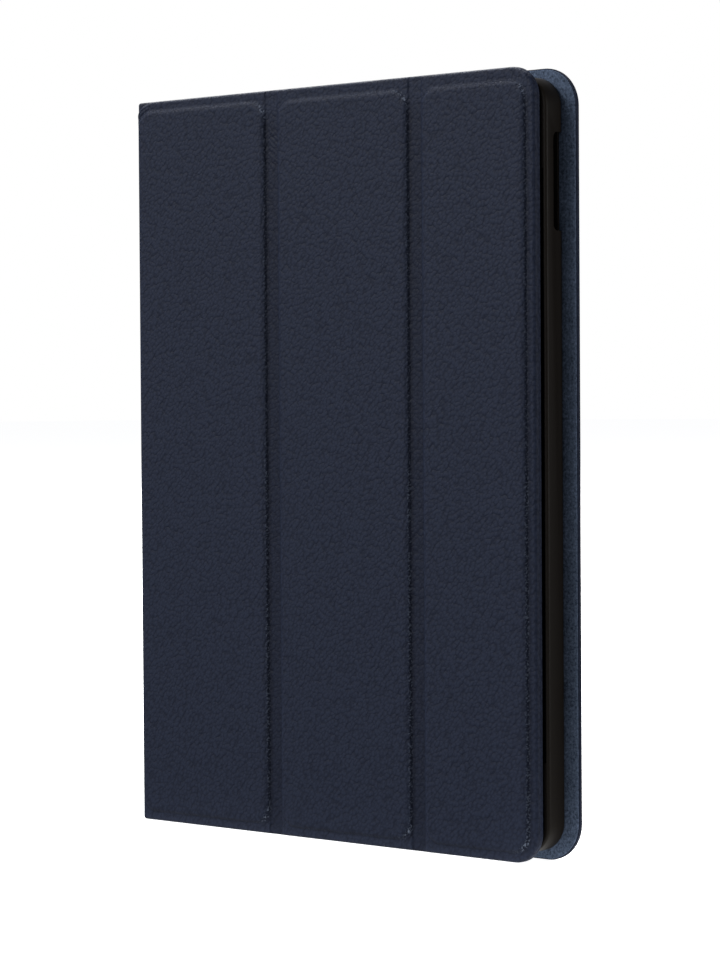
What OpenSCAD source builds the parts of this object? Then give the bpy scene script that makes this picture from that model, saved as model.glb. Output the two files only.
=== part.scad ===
// Leather folio case for a tablet: a three-panel front cover, a spine and a back cover
// round a moulded snap-in tray. It stands upright and closed, with the front cover
// facing -Y, the spine at -X and the origin at the middle of its bottom edge.
// Sizes are in millimetres.

/* [Tablet] */
// Width of the tablet that the tray holds
tablet_w = 174.1; // [160:0.1:200]
// Height of the tablet
tablet_h = 250.6; // [220:0.1:280]
// Thickness of the tablet
tablet_t = 7.5; // [6.5:0.1:9]
// Corner radius of the tablet's outline
tablet_r = 8.6; // [5:0.1:14]

/* [Tray] */
// Clearance between the tablet and the tray
tablet_gap = 0.1; // [0.05:0.05:0.4]
// Wall thickness of the tray
tray_wall = 1.3; // [1:0.1:2]
// Floor thickness of the tray
tray_floor = 0.8; // [0.6:0.1:1.5]
// Rounding where the tray's walls meet its floor, outside
tray_edge_r = 1.2; // [0.6:0.1:2]
// Thickness of the lips that hold the tablet's corners
lip_t = 0.45; // [0.35:0.05:0.8]
// How far the lips reach over the tablet
lip_reach = 0.9; // [0.5:0.1:1.5]
// How far the lips run along each wall from the corner
lip_run = 30; // [15:1:45]
// Thickness of the double-sided tape under the tray
tape_t = 0.2; // [0.1:0.05:0.5]
// Margin between the edge of the tape and the edge of the tray
tape_margin = 10; // [4:0.5:20]

/* [Tray openings] */
// Distance from the tray's top to the volume slot
volume_drop = 18.2; // [14:0.1:30]
// Length of the volume slot
volume_run = 32; // [20:0.5:40]
// Depth of the wall that is left in front of the volume slot
volume_rim = 3.85; // [2.5:0.05:4.5]
// Corner radius of the volume slot
volume_r = 2; // [0.5:0.1:3]
// Distance from the tray's open side to the middle of the power slot
power_in = 26; // [20:0.5:40]
// Length of the power slot
power_run = 20; // [12:0.5:24]
// Distance from the tray's spine side to the middle of the headphone hole
jack_in = 16; // [13:0.5:30]
// Length of the charging slot
port_run = 16; // [12:0.5:22]
// Length of each speaker slot
speaker_run = 28; // [15:0.5:35]
// Distance between the middles of the speaker slots
speaker_apart = 92; // [70:1:110]
// Radius of the slots' round ends and of the headphone hole
slot_r = 3.2; // [2.6:0.1:3.4]
// Radius of the camera window in the tray
camera_r = 5; // [3.5:0.1:7]
// Distance from the tray's open side and top to the middle of the camera window
camera_in = 15.4; // [12.5:0.1:22]
// Extra radius of the camera window in the back cover
camera_step = 0.6; // [0.3:0.1:1.5]

/* [Cover] */
// Thickness of the leather
skin_t = 1.1; // [0.8:0.1:1.5]
// Thickness of the lining
lining_t = 0.5; // [0.3:0.1:0.8]
// Thickness of the boards in the front panels
front_board_t = 1.6; // [1:0.1:2.5]
// Thickness of the board in the back cover
back_board_t = 1; // [0.8:0.1:2]
// Thickness of the board in the spine
spine_board_t = 1; // [0.8:0.1:1.8]
// Thickness of the leather that is turned over the boards' edges
turned_t = 0.7; // [0.5:0.1:1.2]
// Bevel round the outside of the covers
cover_bevel = 0.5; // [0.2:0.1:0.7]
// How far the lining stops short of the covers' edges
lining_in = 0.4; // [0.2:0.1:1.5]
// How far the covers stand past the tray at the top and the bottom
margin_v = 3.1; // [1:0.1:6]
// How far the back cover stands past the tray on the open side
back_flange = 5.2; // [3:0.1:10]
// How far the front cover stops short of the back cover
front_short = 7.4; // [6:0.1:11]
// Space between the spine's lining and the tray
spine_space = 3.7; // [3:0.1:8]
// Space between the front cover's lining and the tray's rim
cover_gap = 0.1; // [0.1:0.1:1]
// Corner radius of the front cover
front_corner_r = 10; // [6:0.5:13]
// Corner radius of the back cover
back_corner_r = 12.8; // [8:0.1:16]

/* [Folds] */
// Distance from the spine's outer face to the first fold
fold_1_in = 66.2; // [60:0.1:70]
// Distance from the spine's outer face to the second fold
fold_2_in = 130.8; // [126:0.1:135]
// Width of the bare leather at a fold
fold_w = 3.8; // [3:0.1:6]
// Outer radius of the leather where it turns round the spine
spine_turn_r = 2.4; // [1.9:0.1:2.8]
// Length of each flexible leg beside the spine, from the outer corner
spine_leg = 3.4; // [3:0.1:4]
// Distance from the end of a panel's or the spine's leather to its board
board_back = 1.1; // [0.8:0.1:1.5]

/* [Pads] */
// Height of the raised pads over the border
pad_rise = 0.9; // [0.5:0.1:1]
// Width of the sloping side of a pad
pad_slope = 2; // [1.2:0.1:3]
// Corner radius of a pad's face
pad_r = 5.5; // [3:0.1:9]
// Border between the cover's top or bottom edge and the pads
pad_border_v = 3.2; // [1:0.1:5]
// Border between the cover's free edge and the last pad
pad_border_free = 3.6; // [1.5:0.1:6]
// Border between a pad and the end of its panel's leather at a fold
pad_border_fold = 1.1; // [0.6:0.1:2]
// Distance from the spine's outer face to the first pad
pad_from_spine = 1.4; // [1:0.1:1.8]

/* [Magnets] */
// Length of a bar magnet
magnet_l = 28; // [12:1:36]
// Width of a bar magnet
magnet_w = 5; // [3:0.5:6]
// Distance from a panel's board edge to its magnets
magnet_in = 3; // [2:0.5:8]
// Distance from the middle of the cover to the outer magnets
magnet_up = 84; // [50:1:95]
// Length of the small magnet that wakes the tablet
wake_l = 10; // [6:1:20]

/* [Hidden] */
// Colours
leather_c = [0.16, 0.18, 0.24];
lining_c = [0.20, 0.24, 0.32];
board_c = [0.45, 0.43, 0.40];
foam_c = [0.62, 0.62, 0.60];
tray_c = [0.12, 0.11, 0.10];
tape_c = [0.78, 0.76, 0.70];
magnet_c = [0.66, 0.67, 0.69];

// Overshoot of a cut past the face that it opens
cut = 1;
// Depth by which a pad's sides run into the leather under it
pad_root = 0.6;
// How far a pad's insert stays inside the pad's face
insert_in = 0.4;
// How far the volume slot nicks the edge of the tray's floor
volume_nick = 0.2;

// The tray, from the tablet outwards
pocket_w = tablet_w + 2 * tablet_gap;
pocket_h = tablet_h + 2 * tablet_gap;
pocket_r = tablet_r + tablet_gap;
tray_w = pocket_w + 2 * tray_wall;
tray_h = pocket_h + 2 * tray_wall;
tray_t = lip_t + tablet_t + tablet_gap + tray_floor;
tray_r = pocket_r + tray_wall;

// The covers, from the tray outwards
front_t = skin_t + front_board_t + lining_t;
back_t = skin_t + back_board_t + lining_t;
spine_t = skin_t + spine_board_t + lining_t;
cover_h = tray_h + 2 * margin_v;
back_w = spine_t + spine_space + tray_w + back_flange;
total_t = pad_rise + front_t + cover_gap + tray_t + tape_t + back_t;

// Planes across the case, from the front to the back
y_face = -total_t / 2;
y_front = y_face + pad_rise;
y_rim = y_front + front_t + cover_gap;
y_tray = y_rim + tray_t;
y_back = total_t / 2;
y_lined = y_back - back_t;

// Planes along the case, from the spine to the open side
x_spine = -back_w / 2;
x_tray = x_spine + spine_t + spine_space;
x_tray_end = x_tray + tray_w;
x_front_end = x_spine + back_w - front_short;
x_back_end = x_spine + back_w;
x_folds = [x_spine + fold_1_in, x_spine + fold_2_in];

// Where each front panel's leather starts and ends
panel_x = [
    [x_spine + spine_leg, x_folds[0] - fold_w / 2],
    [x_folds[0] + fold_w / 2, x_folds[1] - fold_w / 2],
    [x_folds[1] + fold_w / 2, x_front_end]
];
last = len(panel_x) - 1;
// Where each front panel's board starts and ends
board_x = [for (i = [0 : last]) [
    panel_x[i][0] + board_back,
    panel_x[i][1] - (i == last ? turned_t : board_back)
]];
// Where each pad's sloping side starts, left and right
pad_x = [for (i = [0 : last]) [
    i == 0 ? x_spine + pad_from_spine : panel_x[i][0] + pad_border_fold,
    i == last ? x_front_end - pad_border_free : panel_x[i][1] - pad_border_fold
]];
// Corner radius of each panel on its right side
panel_r = [for (i = [0 : last]) i == last ? front_corner_r : 0];

// The spine's leather, between its two flexible turns
spine_y = [y_front + spine_leg, y_back - spine_leg];

// The tray's openings
z_tray = margin_v;
z_tray_end = z_tray + tray_h;
camera_x = x_tray_end - camera_in;
camera_z = z_tray_end - camera_in;
slot_y = y_rim + lip_t + (tablet_t + tablet_gap) / 2;
x_middle = x_tray + tray_w / 2;

$fn = 48;

// ---- Shared shapes ----

// What a round corner of radius r takes off a square corner at (u, v)
module corner_waste(u, v, turn, r) {
    translate([u, v]) rotate(turn) difference() {
        translate([-cut, -cut]) square(r + cut);
        translate([r, r]) circle(r);
    }
}

// A rectangle with one radius on its left corners and another on its right corners
module tile(u0, u1, v0, v1, r_left = 0, r_right = 0) {
    difference() {
        translate([u0, v0]) square([u1 - u0, v1 - v0]);
        if (r_left > 0) {
            corner_waste(u0, v0, 0, r_left);
            corner_waste(u0, v1, 270, r_left);
        }
        if (r_right > 0) {
            corner_waste(u1, v0, 90, r_right);
            corner_waste(u1, v1, 180, r_right);
        }
    }
}

// An outline in the X-Z plane, given the thickness t from y backwards
module slab(y, t) {
    translate([0, y + t, 0]) rotate([90, 0, 0]) linear_extrude(t) children();
}

// An outline in the Y-Z plane, given the thickness t from x to the right
module side_slab(x, t) {
    translate([x, 0, 0]) rotate([90, 0, 90]) linear_extrude(t) children();
}

// A cover sheet of thickness t, bevelled round its outer face at the top and the bottom
// and, where it has the radius r there, on the right. outer is the plane of its outer
// face. way is 1 where the sheet runs backwards from it, and -1 where it runs forwards.
module bevelled_sheet(x, outer, way, t, r) {
    b = cover_bevel;
    hull() {
        slab(min(outer, outer + way * b), b)
            tile(x[0], x[1] - (r > 0 ? b : 0), b, cover_h - b, 0, max(r - b, 0));
        slab(min(outer + way * b, outer + way * t), t - b)
            tile(x[0], x[1], 0, cover_h, 0, r);
    }
}

// The outline of a board and of the space for it. Its right corners have a radius only
// at a free edge.
module board_outline(board, r) {
    tile(board[0], board[1], turned_t, cover_h - turned_t, 0, max(r - turned_t, 0));
}

// What is open behind the leather: the space for the board, and the bare leather at folds
module board_opening(ends, board, r) {
    board_outline(board, r);
    tile(ends[0] - cut, board[0], -cut, cover_h + cut);
    if (r == 0) tile(board[1], ends[1] + cut, -cut, cover_h + cut);
}

// Leather with its edges turned over a board
module turned_leather(x, board, outer, way, board_t, r) {
    inner = outer + way * skin_t;
    depth = board_t + cut;
    difference() {
        bevelled_sheet(x, outer, way, skin_t + board_t, r);
        slab(min(inner, inner + way * depth), depth) board_opening(x, board, r);
    }
}

// The cross-section of a lining: flat over the board, and down to the leather at a fold
module lining_section(ends, board, board_t, free) {
    top = board_t + lining_t;
    near = [[ends[0], lining_t], [ends[0], 0], [board[0], 0], [board[0], board_t]];
    far = [[board[1], board_t], [board[1], 0], [ends[1], 0], [ends[1], lining_t]];
    polygon(concat(
        near,
        free ? [[ends[1], board_t], [ends[1], top]] : concat(far, [[board[1], top]]),
        [[board[0], top]]
    ));
}

// The outline of a lining, which stops short of the cover's edges
module lining_outline(ends, r) {
    tile(ends[0], ends[1] - (r > 0 ? lining_in : 0), lining_in, cover_h - lining_in,
        0, max(r - lining_in, 0));
}

// The section of the leather or the lining round a corner of the spine, from the depth d0
// under the outer face to the depth d1
module turn_section(d0, d1) {
    difference() {
        translate([d0, d0]) square(spine_leg - d0);
        corner_waste(d0, d0, 0, spine_turn_r - d0);
        difference() {
            translate([d1, d1]) square(spine_leg - d1 + cut);
            corner_waste(d1, d1, 0, spine_turn_r - d1);
        }
    }
}

// The window for the tablet's rear camera, through everything behind the pocket
module camera_window(r) {
    translate([camera_x, y_back + cut, camera_z]) rotate([90, 0, 0])
        cylinder(h = total_t, r = r);
}

// ---- Front panels, numbered from the spine ----

// One level of a pad's rounded side: share is how far in it is, rise how far up
module pad_level(i, share, rise) {
    inset = pad_slope * share;
    r = pad_r + pad_slope * (1 - share) / 2;
    slab(y_front - pad_rise * rise, pad_rise * rise + pad_root)
        tile(pad_x[i][0] + inset, pad_x[i][1] - inset,
            pad_border_v + inset, cover_h - pad_border_v - inset, r, r);
}

// A raised pad, with sides that slope down to the border
module pad_dome(i) {
    hull() {
        pad_level(i, 0, 0);
        pad_level(i, 0.3, 0.55);
        pad_level(i, 0.6, 0.85);
        pad_level(i, 1, 1);
    }
}

// The insert that holds a pad up, between the leather and the board
module pad_insert(i, depth) {
    from_face = pad_slope + insert_in;
    slab(y_face + skin_t, depth)
        tile(max(pad_x[i][0] + pad_slope, board_x[i][0]) + insert_in,
            pad_x[i][1] - from_face,
            pad_border_v + from_face, cover_h - pad_border_v - from_face,
            pad_r - insert_in, pad_r - insert_in);
}

module panel_leather(i) {
    color(leather_c) difference() {
        union() {
            turned_leather(panel_x[i], board_x[i], y_front, 1, front_board_t, panel_r[i]);
            intersection() {
                pad_dome(i);
                slab(y_face - cut, pad_rise + skin_t)
                    tile(panel_x[i][0], panel_x[i][1], 0, cover_h);
            }
        }
        pad_insert(i, pad_rise + cut);
    }
}

module panel_pad(i) {
    color(foam_c) pad_insert(i, pad_rise);
}

// The bar magnets of a panel, each as [middle height, length]
function magnet_places(i) = concat(
    [for (side = [-1, 1]) [cover_h / 2 + side * magnet_up, magnet_l]],
    i == last ? [[cover_h / 2, wake_l]] : []
);

module panel_magnets(i) {
    x = i == 0 ? board_x[i][0] + magnet_in : board_x[i][1] - magnet_in - magnet_w;
    color(magnet_c) for (m = magnet_places(i))
        translate([x, y_front + skin_t, m[0] - m[1] / 2])
            cube([magnet_w, front_board_t, m[1]]);
}

module panel_board(i) {
    color(board_c) difference() {
        slab(y_front + skin_t, front_board_t) board_outline(board_x[i], panel_r[i]);
        if (i == 0 || i == last) panel_magnets(i);
    }
}

module panel_lining(i) {
    depth = front_board_t + lining_t;
    color(lining_c) intersection() {
        translate([0, y_front + skin_t, 0]) linear_extrude(cover_h)
            lining_section(panel_x[i], board_x[i], front_board_t, i == last);
        slab(y_front + skin_t, depth) lining_outline(panel_x[i], panel_r[i]);
    }
}

// ---- Folds between the front panels ----

module fold_leather(i) {
    color(leather_c) translate([x_folds[i] - fold_w / 2, y_front, 0])
        cube([fold_w, skin_t, cover_h]);
}

module fold_lining(i) {
    color(lining_c) translate([x_folds[i] - fold_w / 2, y_front + skin_t, lining_in])
        cube([fold_w, lining_t, cover_h - 2 * lining_in]);
}

// ---- Spine ----

spine_board_y = [spine_y[0] + board_back, spine_y[1] - board_back];

module spine_leather() {
    color(leather_c) difference() {
        side_slab(x_spine, skin_t + spine_board_t)
            tile(spine_y[0], spine_y[1], 0, cover_h);
        side_slab(x_spine + skin_t, spine_board_t + cut)
            board_opening(spine_y, spine_board_y, 0);
    }
}

module spine_board() {
    color(board_c) side_slab(x_spine + skin_t, spine_board_t)
        board_outline(spine_board_y, 0);
}

module spine_lining() {
    color(lining_c) translate([x_spine + skin_t, 0, lining_in])
        linear_extrude(cover_h - 2 * lining_in) mirror([1, -1])
            lining_section(spine_y, spine_board_y, spine_board_t, false);
}

module spine_front_turn_leather() {
    color(leather_c) union() {
        translate([x_spine, y_front, 0]) linear_extrude(cover_h) turn_section(0, skin_t);
        intersection() {
            pad_dome(0);
            slab(y_face - cut, total_t) tile(x_spine, panel_x[0][0], 0, cover_h);
        }
    }
}

module spine_front_turn_lining() {
    color(lining_c) translate([x_spine, y_front, lining_in])
        linear_extrude(cover_h - 2 * lining_in) turn_section(skin_t, skin_t + lining_t);
}

module spine_back_turn_leather() {
    color(leather_c) translate([x_spine, y_back, 0]) mirror([0, 1, 0])
        linear_extrude(cover_h) turn_section(0, skin_t);
}

module spine_back_turn_lining() {
    color(lining_c) translate([x_spine, y_back, lining_in]) mirror([0, 1, 0])
        linear_extrude(cover_h - 2 * lining_in) turn_section(skin_t, skin_t + lining_t);
}

// ---- Back cover ----

back_x = [x_spine + spine_leg, x_back_end];
back_board_x = [back_x[0] + board_back, back_x[1] - turned_t];
back_window_r = camera_r + camera_step;

module back_leather() {
    collar = back_board_t + skin_t - cover_bevel;
    color(leather_c) difference() {
        union() {
            turned_leather(back_x, back_board_x, y_back, -1, back_board_t, back_corner_r);
            translate([camera_x, y_back - cover_bevel, camera_z]) rotate([90, 0, 0])
                cylinder(h = collar, r = back_window_r + turned_t);
        }
        camera_window(back_window_r);
    }
}

module back_board() {
    color(board_c) difference() {
        slab(y_back - skin_t - back_board_t, back_board_t)
            board_outline(back_board_x, back_corner_r);
        camera_window(back_window_r + turned_t);
    }
}

module back_lining() {
    depth = back_board_t + lining_t;
    color(lining_c) difference() {
        intersection() {
            translate([0, y_back - skin_t, 0]) mirror([0, 1, 0]) linear_extrude(cover_h)
                lining_section(back_x, back_board_x, back_board_t, true);
            slab(y_lined, depth) lining_outline(back_x, back_corner_r);
        }
        camera_window(back_window_r);
    }
}

// ---- Tray ----

// The tray's outside, set in by the distance inset all round
module tray_outline(inset) {
    tile(x_tray + inset, x_tray_end - inset, z_tray + inset, z_tray_end - inset,
        tray_r - inset, tray_r - inset);
}

// The tray's solid form, with rounded rear edges
module tray_block() {
    hull() for (a = [0 : 30 : 90])
        slab(y_rim, tray_t - tray_edge_r * (1 - sin(a)))
            tray_outline(tray_edge_r * (1 - cos(a)));
}

// The open front of the tray: clear of the tablet's edges but for a lip at each corner
module tray_mouth() {
    tray_outline(tray_wall + lip_reach);
    intersection() {
        tray_outline(tray_wall);
        union() {
            tile(x_tray + lip_run, x_tray_end - lip_run, z_tray, z_tray_end);
            tile(x_tray, x_tray_end, z_tray + lip_run, z_tray_end - lip_run);
        }
    }
}

// A slot with round ends through the tray's top or bottom wall, which starts at height z
module wall_slot(x, run, z) {
    translate([0, 0, z - cut]) linear_extrude(tray_wall + 2 * cut)
        tile(x - run / 2, x + run / 2, slot_y - slot_r, slot_y + slot_r, slot_r, slot_r);
}

// The slot for the volume keys, in the rear of the open side's wall
module volume_slot() {
    z_high = z_tray_end - volume_drop;
    side_slab(x_tray_end - tray_wall - volume_nick, tray_wall + volume_nick + cut)
        tile(y_rim + volume_rim, y_tray + cut, z_high - volume_run, z_high, volume_r, 0);
}

// The whole moulding
module tray_shell() {
    difference() {
        tray_block();
        slab(y_rim + lip_t, tablet_t + tablet_gap) tray_outline(tray_wall);
        slab(y_rim - cut, lip_t + 2 * cut) tray_mouth();
        camera_window(camera_r);
        volume_slot();
        wall_slot(x_tray_end - power_in, power_run, z_tray_end - tray_wall);
        translate([x_tray + jack_in, slot_y, z_tray_end - tray_wall - cut])
            cylinder(h = tray_wall + 2 * cut, r = slot_r);
        wall_slot(x_middle, port_run, z_tray);
        for (side = [-1, 1])
            wall_slot(x_middle + side * speaker_apart / 2, speaker_run, z_tray);
    }
}

// The straight walls that have slots are nodes of their own, with their lips. They meet
// the rest of the moulding face to face, between its corners.
wall_deep = tray_wall + lip_reach;
wall_zones = [
    [[x_tray + tray_r, x_tray_end - tray_r], [z_tray_end - wall_deep, z_tray_end + cut]],
    [[x_tray + tray_r, x_tray_end - tray_r], [z_tray - cut, z_tray + wall_deep]],
    [[x_tray_end - wall_deep, x_tray_end + cut], [z_tray + tray_r, z_tray_end - tray_r]]
];

module wall_zone(i) {
    slab(y_rim - cut, tray_t + 2 * cut)
        tile(wall_zones[i][0][0], wall_zones[i][0][1], wall_zones[i][1][0], wall_zones[i][1][1]);
}

module tray() {
    color(tray_c) difference() {
        tray_shell();
        for (i = [0 : 2]) wall_zone(i);
    }
}

module tray_slotted_wall(i) {
    color(tray_c) intersection() {
        tray_shell();
        wall_zone(i);
    }
}

module tray_tape() {
    color(tape_c) slab(y_tray, tape_t)
        tile(x_tray + tape_margin, x_tray_end - tape_margin,
            z_tray + tape_margin, camera_z - camera_r - tape_margin);
}

back_leather();
back_board();
back_lining();
tray();
tray_slotted_wall(0);  // tray_top_wall
tray_slotted_wall(1);  // tray_bottom_wall
tray_slotted_wall(2);  // tray_open_wall
tray_tape();
spine_leather();
spine_board();
spine_lining();
panel_leather(0);  // panel_1_leather
panel_board(0);  // panel_1_board
panel_pad(0);  // panel_1_pad
panel_lining(0);  // panel_1_lining
panel_magnets(0);  // panel_1_magnets
panel_leather(1);  // panel_2_leather
panel_board(1);  // panel_2_board
panel_pad(1);  // panel_2_pad
panel_lining(1);  // panel_2_lining
panel_leather(2);  // panel_3_leather
panel_board(2);  // panel_3_board
panel_pad(2);  // panel_3_pad
panel_lining(2);  // panel_3_lining
panel_magnets(2);  // panel_3_magnets
spine_back_turn_leather();
spine_back_turn_lining();
spine_front_turn_leather();
spine_front_turn_lining();
fold_leather(0);  // fold_1_leather
fold_lining(0);  // fold_1_lining
fold_leather(1);  // fold_2_leather
fold_lining(1);  // fold_2_lining
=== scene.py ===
import math

import bmesh
import bpy
import numpy as np
from mathutils import Matrix, Vector, noise


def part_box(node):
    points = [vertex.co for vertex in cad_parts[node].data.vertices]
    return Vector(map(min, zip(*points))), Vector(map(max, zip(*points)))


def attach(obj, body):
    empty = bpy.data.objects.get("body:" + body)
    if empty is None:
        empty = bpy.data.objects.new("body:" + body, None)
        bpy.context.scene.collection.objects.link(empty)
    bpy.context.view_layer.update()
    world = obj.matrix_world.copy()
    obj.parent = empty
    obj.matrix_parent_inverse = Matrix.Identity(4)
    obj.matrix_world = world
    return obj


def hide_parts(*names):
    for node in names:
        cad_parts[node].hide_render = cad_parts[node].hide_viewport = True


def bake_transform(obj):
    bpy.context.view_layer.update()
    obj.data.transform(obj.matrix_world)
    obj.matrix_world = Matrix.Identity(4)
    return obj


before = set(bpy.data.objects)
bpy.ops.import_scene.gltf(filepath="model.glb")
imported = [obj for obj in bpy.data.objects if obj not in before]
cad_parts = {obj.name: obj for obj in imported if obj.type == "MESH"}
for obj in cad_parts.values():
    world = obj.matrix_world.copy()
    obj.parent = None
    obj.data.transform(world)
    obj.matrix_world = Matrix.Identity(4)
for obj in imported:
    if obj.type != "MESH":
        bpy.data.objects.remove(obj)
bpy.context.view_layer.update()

# ---- Camera ----
# It stands to the right of the case, a little over half its height, and looks slightly
# down at it through a long lens.
camera_place = (0.67536, -0.78140, 0.15066)
camera_yaw, camera_pitch, camera_roll = (math.radians(a) for a in (40.601, -1.469, -0.374))
camera_turn = (
    Matrix.Rotation(camera_yaw, 3, "Z")
    @ Matrix.Rotation(math.radians(90) + camera_pitch, 3, "X")
    @ Matrix.Rotation(camera_roll, 3, "Z")
)
bpy.ops.object.camera_add(location=camera_place, rotation=camera_turn.to_euler())
camera = bpy.context.object
camera.name = "studio_camera"
camera.data.lens = 112.5
camera.data.sensor_width = 36
camera.data.clip_end = 50
bpy.context.scene.camera = camera
bpy.context.scene.view_settings.view_transform = "Standard"


# ---- Floor and light ----
# A sheet of matt white paper in a white studio. A large soft box stands in front on the
# left with a weak fill beside it, another behind on the left grazes the tops of the pads,
# and a low strip on the right lights the tray's wall.
def linear(colour):
    """The linear RGBA of an sRGB hex colour."""
    parts = [int(colour[i : i + 2], 16) / 255 for i in (1, 3, 5)]
    return [p / 12.92 if p <= 0.04045 else ((p + 0.055) / 1.055) ** 2.4 for p in parts] + [1]


def add_node(tree, kind, inputs=None, **settings):
    """Adds a node. inputs holds a value, or the output it is linked to, for each socket."""
    node = tree.nodes.new(kind)
    for name, value in settings.items():
        setattr(node, name, value)
    for socket, value in (inputs or {}).items():
        if isinstance(value, bpy.types.NodeSocket):
            tree.links.new(value, node.inputs[socket])
        else:
            node.inputs[socket].default_value = value
    return node


def new_material(name):
    """An empty node material, and its node tree."""
    material = bpy.data.materials.new(name)
    material.use_nodes = True
    material.node_tree.nodes.clear()
    return material, material.node_tree


bpy.ops.object.select_all(action="DESELECT")
bpy.ops.mesh.primitive_plane_add(size=40, location=(0, 0, 0))
floor = bpy.context.object
floor.name = "floor"
paper, tree = new_material("matt_white_paper")
sheen = add_node(tree, "ShaderNodeBsdfDiffuse", {"Color": linear("#F4F4F4")})
glow = add_node(tree, "ShaderNodeEmission", {"Color": linear("#FFFFFF"), "Strength": 0.93})
lit = add_node(tree, "ShaderNodeAddShader", {0: sheen.outputs[0], 1: glow.outputs[0]})
# What the paper throws back at the case is weaker than the paper looks: strongest close
# round the foot, and on the right, where the strip shines on it.
mm = 0.001
foot_half = (94 * mm, 8 * mm, 0)
beside_middle = (120 * mm, 0, 0)
place = add_node(tree, "ShaderNodeTexCoord").outputs["Object"]
span = add_node(tree, "ShaderNodeVectorMath", {0: place}, operation="ABSOLUTE").outputs[0]
past = add_node(
    tree, "ShaderNodeVectorMath", {0: span, 1: foot_half}, operation="SUBTRACT"
).outputs[0]
beyond = add_node(
    tree, "ShaderNodeVectorMath", {0: past, 1: (0, 0, 0)}, operation="MAXIMUM"
).outputs[0]
away = add_node(
    tree, "ShaderNodeVectorMath", {0: beyond}, operation="LENGTH"
).outputs["Value"]
near = add_node(
    tree, "ShaderNodeMapRange",
    {"Value": away, "From Min": 0, "From Max": 9 * mm, "To Min": 0.75, "To Max": 0.27},
    interpolation_type="SMOOTHSTEP",
).outputs[0]
beside = add_node(
    tree, "ShaderNodeVectorMath", {0: place, 1: beside_middle}, operation="DISTANCE"
).outputs["Value"]
patch = add_node(
    tree, "ShaderNodeMapRange",
    {"Value": beside, "From Min": 10 * mm, "From Max": 70 * mm, "To Min": 0.65, "To Max": 0},
    interpolation_type="SMOOTHSTEP",
).outputs[0]
total = add_node(tree, "ShaderNodeMath", {0: near, 1: patch}).outputs[0]
bounce = add_node(tree, "ShaderNodeEmission", {"Color": linear("#FFFFFF"), "Strength": total})
ray = add_node(tree, "ShaderNodeLightPath")
seen = add_node(
    tree, "ShaderNodeMixShader",
    {0: ray.outputs["Is Camera Ray"], 1: bounce.outputs[0], 2: lit.outputs[0]},
)
add_node(tree, "ShaderNodeOutputMaterial", {"Surface": seen.outputs[0]})
floor.data.materials.append(paper)

world = bpy.data.worlds.new("white_studio")
bpy.context.scene.world = world
world.use_nodes = True
tree = world.node_tree
tree.nodes.clear()
ambient = add_node(
    tree, "ShaderNodeBackground", {"Color": linear("#E8EEFF"), "Strength": 0.07}
)
backdrop = add_node(
    tree, "ShaderNodeBackground", {"Color": linear("#FFFFFF"), "Strength": 1}
)
ray = add_node(tree, "ShaderNodeLightPath")
seen = add_node(
    tree, "ShaderNodeMixShader",
    {0: ray.outputs["Is Camera Ray"], 1: ambient.outputs[0], 2: backdrop.outputs[0]},
)
add_node(tree, "ShaderNodeOutputWorld", {"Surface": seen.outputs[0]})

case_middle = Vector((0, 0, 130 * mm))
# name, degrees round the case from its front and up, metres away, metres wide and high, watts
for name, azimuth, elevation, distance, size, power in (
    ("soft_box", -38, 36, 5.0, (2.5, 2.5), 200),
    ("front_fill", -18, 15, 3.6, (2.0, 2.0), 17),
    ("top_box", -115, 55, 4.2, (1.9, 1.9), 285),
    ("side_strip", 100, 4, 1.6, (0.6, 0.9), 11),
):
    turn, rise = math.radians(azimuth), math.radians(elevation)
    away = Vector((
        math.sin(turn) * math.cos(rise), -math.cos(turn) * math.cos(rise), math.sin(rise)
    ))
    bpy.ops.object.light_add(
        type="AREA",
        location=case_middle + away * distance,
        rotation=away.to_track_quat("Z", "Y").to_euler(),
    )
    light = bpy.context.object
    light.name = name
    light.data.shape = "RECTANGLE"
    light.data.size, light.data.size_y = size
    light.data.energy = power


# ---- Front panels ----
# Pebbled calf leather, pulled over a board and over a flat insert that lifts the middle of
# each panel, and turned round the board's edges. Panel 1 lies beside the spine.
close = 1e-6  # two places nearer than this are the same
height = round(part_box("panel_1_leather")[1].z, 6)
border_y = round(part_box("fold_1_leather")[0].y, 6)
panel_back_y = round(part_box("panel_1_leather")[1].y, 6)
skin_t = 1.1 * mm  # the leather, and its thinner edge where it is turned round the board
turned_t = 0.7 * mm
edge_r = 1.0 * mm
edge_steps = 5
board_back = 1.1 * mm  # a board ends this far from its fold
pad_rise = 0.9 * mm
pad_slope = 3.6 * mm
pad_fillet = 0.18 * mm
fold_dip = 0.4 * mm  # the leather is thinner at a fold, and lies lower
fold_flat, fold_ease = 2.4 * mm, 1.0 * mm  # half the width of that, and how it eases out
free_dip = 0.22 * mm  # and it is pressed down beside the pad at the free edge
free_out, free_in = 2.6 * mm, 0.6 * mm
end_plain, end_fade = 5 * mm, 8 * mm  # a crease starts this far from its ends, and fades in
pad_r = 6.5 * mm
pad_border = 3.2 * mm
pad_border_fold = 1.1 * mm
pad_border_free = 3.6 * mm
pad_border_top = {1: 3.2 * mm, 2: 3.9 * mm, 3: 4.2 * mm}
pad_1_left = round(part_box("spine_leather")[0].x, 6) + 1.4 * mm
front_r = 10 * mm  # the cover's two free corners
free_r = 1.6 * mm  # the rounding along the free edge
front_deep = 0.6 * mm  # leather no deeper than this belongs to the front

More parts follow.
